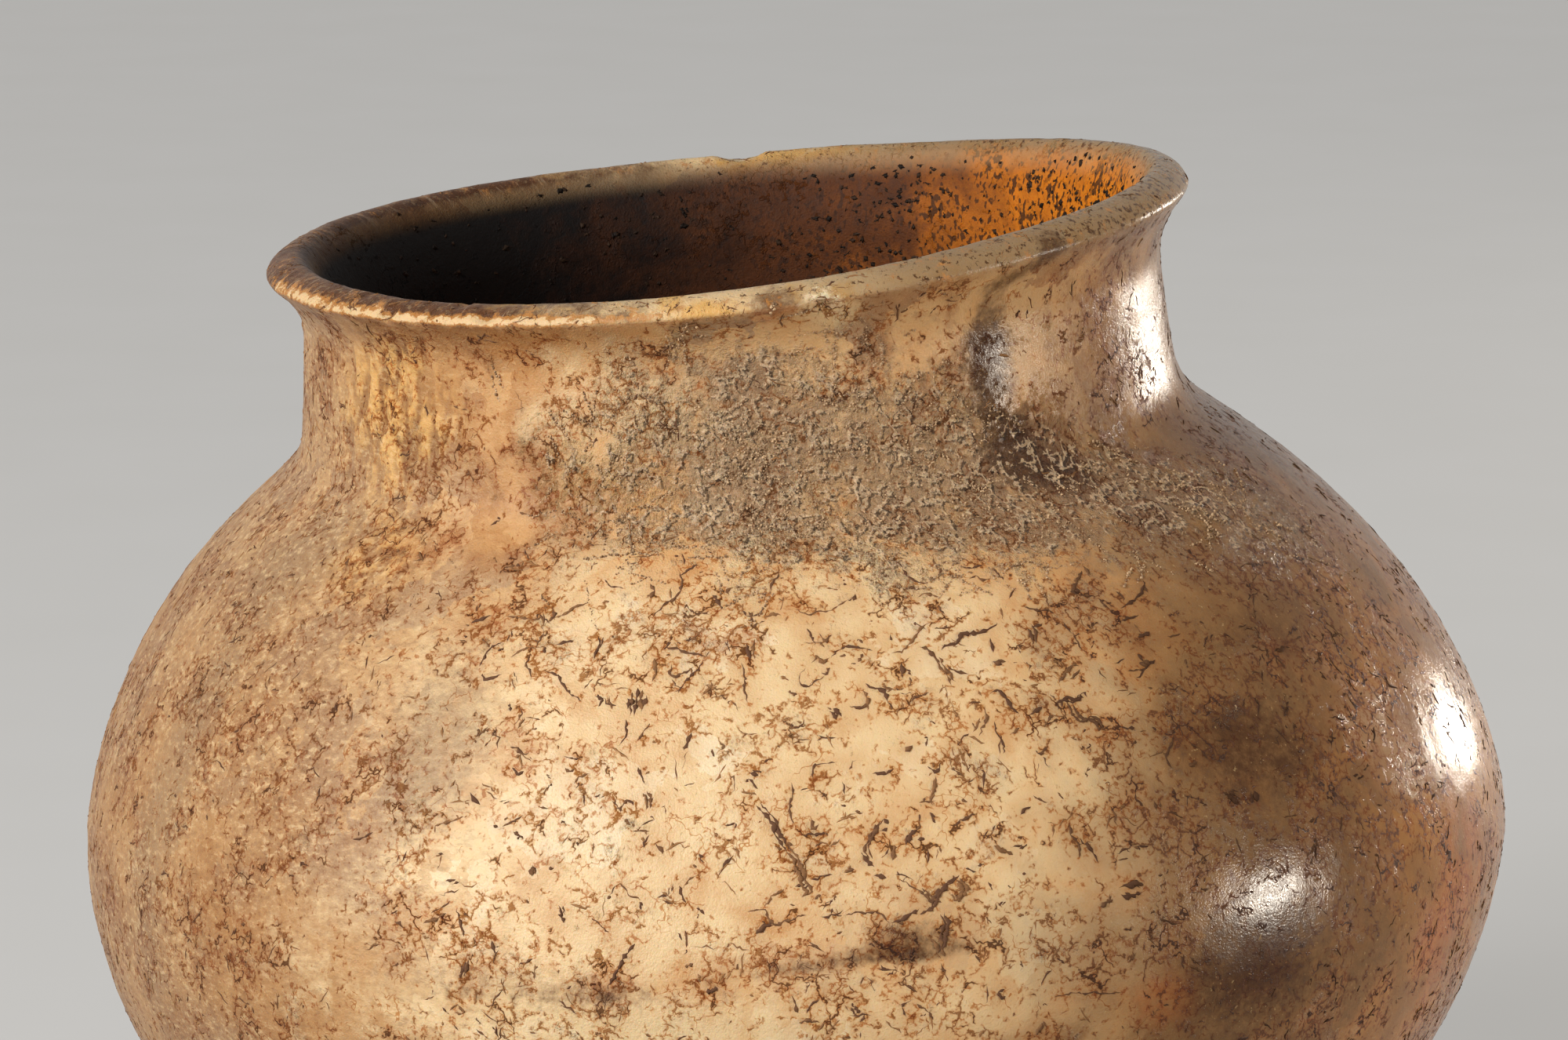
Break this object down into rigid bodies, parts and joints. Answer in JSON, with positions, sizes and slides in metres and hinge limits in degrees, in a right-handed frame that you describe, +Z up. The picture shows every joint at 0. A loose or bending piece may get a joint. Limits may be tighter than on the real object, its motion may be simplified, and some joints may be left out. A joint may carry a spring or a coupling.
{
  "type": "tripod jar",
  "caption": "Round-bodied carved onyx jar with a short leaning neck and a flared lip, on stubby tripod feet with bedded tenons.",
  "frame": {"origin": "on the ground under the middle of the round body", "axes": "+Z up, +X to the right and +Y to the back as seen from the side that the picture shows; one foot points to the front, and the neck leans towards -X"},
  "size_m": [0.2, 0.2, 0.1811],
  "materials": {
    "onyx": "worn polish",
    "mastic": "matte"
  },
  "bodies": {
    "root": {"bowl": "onyx", "foot_front": "onyx", "foot_rear_right": "onyx", "foot_rear_left": "onyx", "foot_bed_front": "mastic", "foot_bed_rear_right": "mastic", "foot_bed_rear_left": "mastic"}
  },
  "joints": []
}
